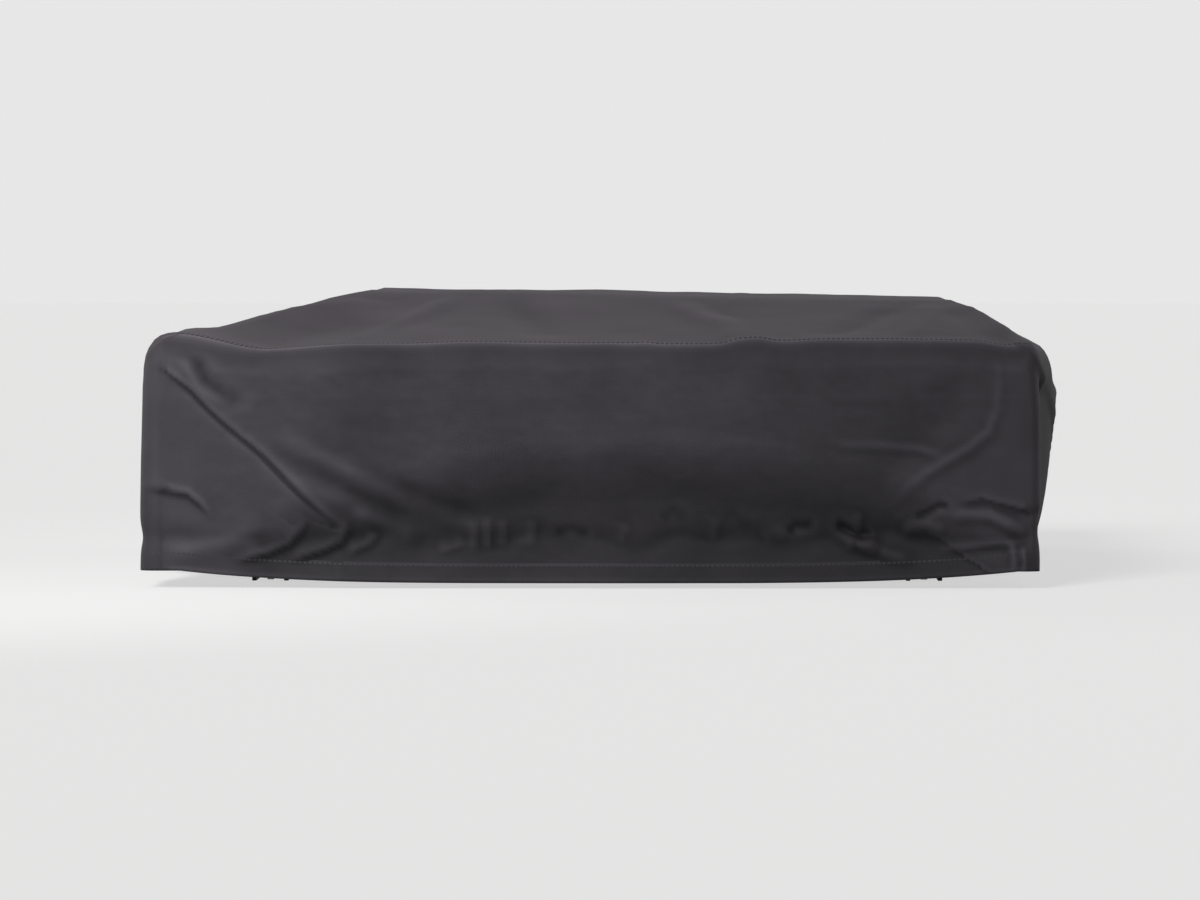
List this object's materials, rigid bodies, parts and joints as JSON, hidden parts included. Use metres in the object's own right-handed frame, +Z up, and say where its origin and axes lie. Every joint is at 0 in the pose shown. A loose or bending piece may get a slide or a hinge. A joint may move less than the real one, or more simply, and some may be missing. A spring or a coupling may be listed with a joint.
{
  "type": "rooftop tent",
  "caption": "Soft-shell rooftop tent folded flat under a loose charcoal cloth travel cover, with a fold-out base, hoops, telescopic ladder and crossbar clamps.",
  "frame": {"origin": "middle of the bounding box on the ground plane, under the clamp plates", "axes": "+X across the car, to the right when seen from its front; +Y towards the rear of the car; +Z up"},
  "size_m": [1.0916, 1.2404, 0.35],
  "materials": {
    "cover_cloth": "matt coated polyester",
    "canopy_cloth": "matt polycotton",
    "mattress_cloth": "woven mattress cover",
    "webbing": "woven webbing",
    "alloy": "satin anodised",
    "black_alloy": "satin black powder coat",
    "black_plastic": "fine grain",
    "rubber": "matt",
    "zinc_steel": "zinc plated",
    "board": "fine textured skin on a light core"
  },
  "bodies": {
    "base": {"fixed_panel": "board", "fixed_frame": "black_alloy", "fixed_frame_corners": "black_plastic", "mounting_rails": "black_alloy", "rail_end_caps": "black_plastic", "rail_screws": "zinc_steel", "fixed_hinge_brackets": "black_alloy", "fixed_bracket_screws": "zinc_steel", "hinge_pins": "zinc_steel", "hinge_pin_clips": "zinc_steel", "fixed_mattress": "mattress_cloth", "canopy": "canopy_cloth", "lower_straps": "webbing", "buckle_sockets": "black_plastic"},
    "folding_half": {"folding_panel": "board", "folding_frame": "black_alloy", "folding_frame_corners": "black_plastic", "folding_hinge_brackets": "black_alloy", "folding_bracket_screws": "zinc_steel", "folding_mattress": "mattress_cloth", "upper_straps": "webbing", "buckle_tongues": "black_plastic", "ladder_brackets": "black_alloy", "ladder_pivot_pins": "zinc_steel", "ladder_rests": "rubber"},
    "hoop_low_arm": {"hoop_low": "alloy", "hoop_low_elbows": "black_plastic"},
    "hoop_middle_arm": {"hoop_middle": "alloy", "hoop_middle_elbows": "black_plastic"},
    "hoop_high_arm": {"hoop_high": "alloy", "hoop_high_elbows": "black_plastic"},
    "front_clamps": {"front_clamp_bolts": "zinc_steel"},
    "rear_clamps": {"rear_clamp_bolts": "zinc_steel"},
    "front_plates": {"front_clamp_plates": "black_alloy", "front_clamp_pads": "rubber", "front_clamp_nuts": "zinc_steel"},
    "rear_plates": {"rear_clamp_plates": "black_alloy", "rear_clamp_pads": "rubber", "rear_clamp_nuts": "zinc_steel"},
    "cover": {"travel_cover": "cover_cloth", "cover_tabs": "webbing"},
    "ladder_1": {"ladder_stiles_1": "alloy", "ladder_step_1": "black_plastic"},
    "ladder_2": {"ladder_stiles_2": "alloy", "ladder_step_2": "black_plastic"},
    "ladder_3": {"ladder_stiles_3": "alloy", "ladder_step_3": "black_plastic"},
    "ladder_4": {"ladder_stiles_4": "alloy", "ladder_step_4": "black_plastic"},
    "ladder_5": {"ladder_stiles_5": "alloy", "ladder_step_5": "black_plastic"},
    "ladder_6": {"ladder_stiles_6": "alloy", "ladder_step_6": "black_plastic"},
    "ladder_7": {"ladder_stiles_7": "alloy", "ladder_step_7": "black_plastic", "ladder_feet": "rubber"}
  },
  "joints": [
    {"name": "unfold", "type": "hinge", "parent": "base", "child": "folding_half", "pos_m": [-0.514, 0, 0.177], "axis": [0, -1, 0], "range_deg": [0, 179.8], "deforming": ["travel_cover", "cover_tabs", "canopy"]},
    {"name": "hoop_low_swing", "type": "hinge", "parent": "base", "child": "hoop_low_arm", "pos_m": [-0.514, 0, 0.177], "axis": [0, -1, 0], "range_deg": [0, 47]},
    {"name": "hoop_middle_swing", "type": "hinge", "parent": "base", "child": "hoop_middle_arm", "pos_m": [-0.514, 0, 0.177], "axis": [0, -1, 0], "range_deg": [0, 90.5]},
    {"name": "hoop_high_swing", "type": "hinge", "parent": "base", "child": "hoop_high_arm", "pos_m": [-0.514, 0, 0.177], "axis": [0, -1, 0], "range_deg": [0, 134]},
    {"name": "ladder_swing", "type": "hinge", "parent": "folding_half", "child": "ladder_1", "pos_m": [0.44, 0, 0.309], "axis": [0, 1, 0], "range_deg": [0, 181]},
    {"name": "ladder_slide_2", "type": "slide", "parent": "ladder_1", "child": "ladder_2", "axis": [-1, 0, 0], "range_m": [0, 0.216]},
    {"name": "ladder_slide_3", "type": "slide", "parent": "ladder_2", "child": "ladder_3", "axis": [-1, 0, 0], "range_m": [0, 0.216]},
    {"name": "ladder_slide_4", "type": "slide", "parent": "ladder_3", "child": "ladder_4", "axis": [-1, 0, 0], "range_m": [0, 0.216]},
    {"name": "ladder_slide_5", "type": "slide", "parent": "ladder_4", "child": "ladder_5", "axis": [-1, 0, 0], "range_m": [0, 0.216]},
    {"name": "ladder_slide_6", "type": "slide", "parent": "ladder_5", "child": "ladder_6", "axis": [-1, 0, 0], "range_m": [0, 0.216]},
    {"name": "ladder_slide_7", "type": "slide", "parent": "ladder_6", "child": "ladder_7", "axis": [-1, 0, 0], "range_m": [0, 0.216]},
    {"name": "cover_flip", "type": "hinge", "parent": "base", "child": "cover", "pos_m": [0.511, 0, 0.0912], "axis": [0, 1, 0], "range_deg": [0, 85]},
    {"name": "front_clamps_slide", "type": "slide", "parent": "base", "child": "front_clamps", "axis": [0, 1, 0], "range_m": [-0.12, 0.12]},
    {"name": "front_plates_lift", "type": "slide", "parent": "front_clamps", "child": "front_plates", "axis": [0, 0, 1], "range_m": [-0.008, 0]},
    {"name": "rear_clamps_slide", "type": "slide", "parent": "base", "child": "rear_clamps", "axis": [0, 1, 0], "range_m": [-0.12, 0.12]},
    {"name": "rear_plates_lift", "type": "slide", "parent": "rear_clamps", "child": "rear_plates", "axis": [0, 0, 1], "range_m": [-0.008, 0]}
  ],
  "couplings": [
    {"joint": "hoop_low_swing", "follows": "unfold", "ratio": 0.25862},
    {"joint": "hoop_middle_swing", "follows": "unfold", "ratio": 0.50056},
    {"joint": "hoop_high_swing", "follows": "unfold", "ratio": 0.74249},
    {"joint": "ladder_swing", "follows": "unfold", "ratio": 1.001},
    {"joint": "ladder_slide_2", "follows": "unfold", "m_per_rad": 0.068513},
    {"joint": "ladder_slide_3", "follows": "unfold", "m_per_rad": 0.068513},
    {"joint": "ladder_slide_4", "follows": "unfold", "m_per_rad": 0.068513},
    {"joint": "ladder_slide_5", "follows": "unfold", "m_per_rad": 0.068513},
    {"joint": "ladder_slide_6", "follows": "unfold", "m_per_rad": 0.068513},
    {"joint": "ladder_slide_7", "follows": "unfold", "m_per_rad": 0.068513}
  ]
}
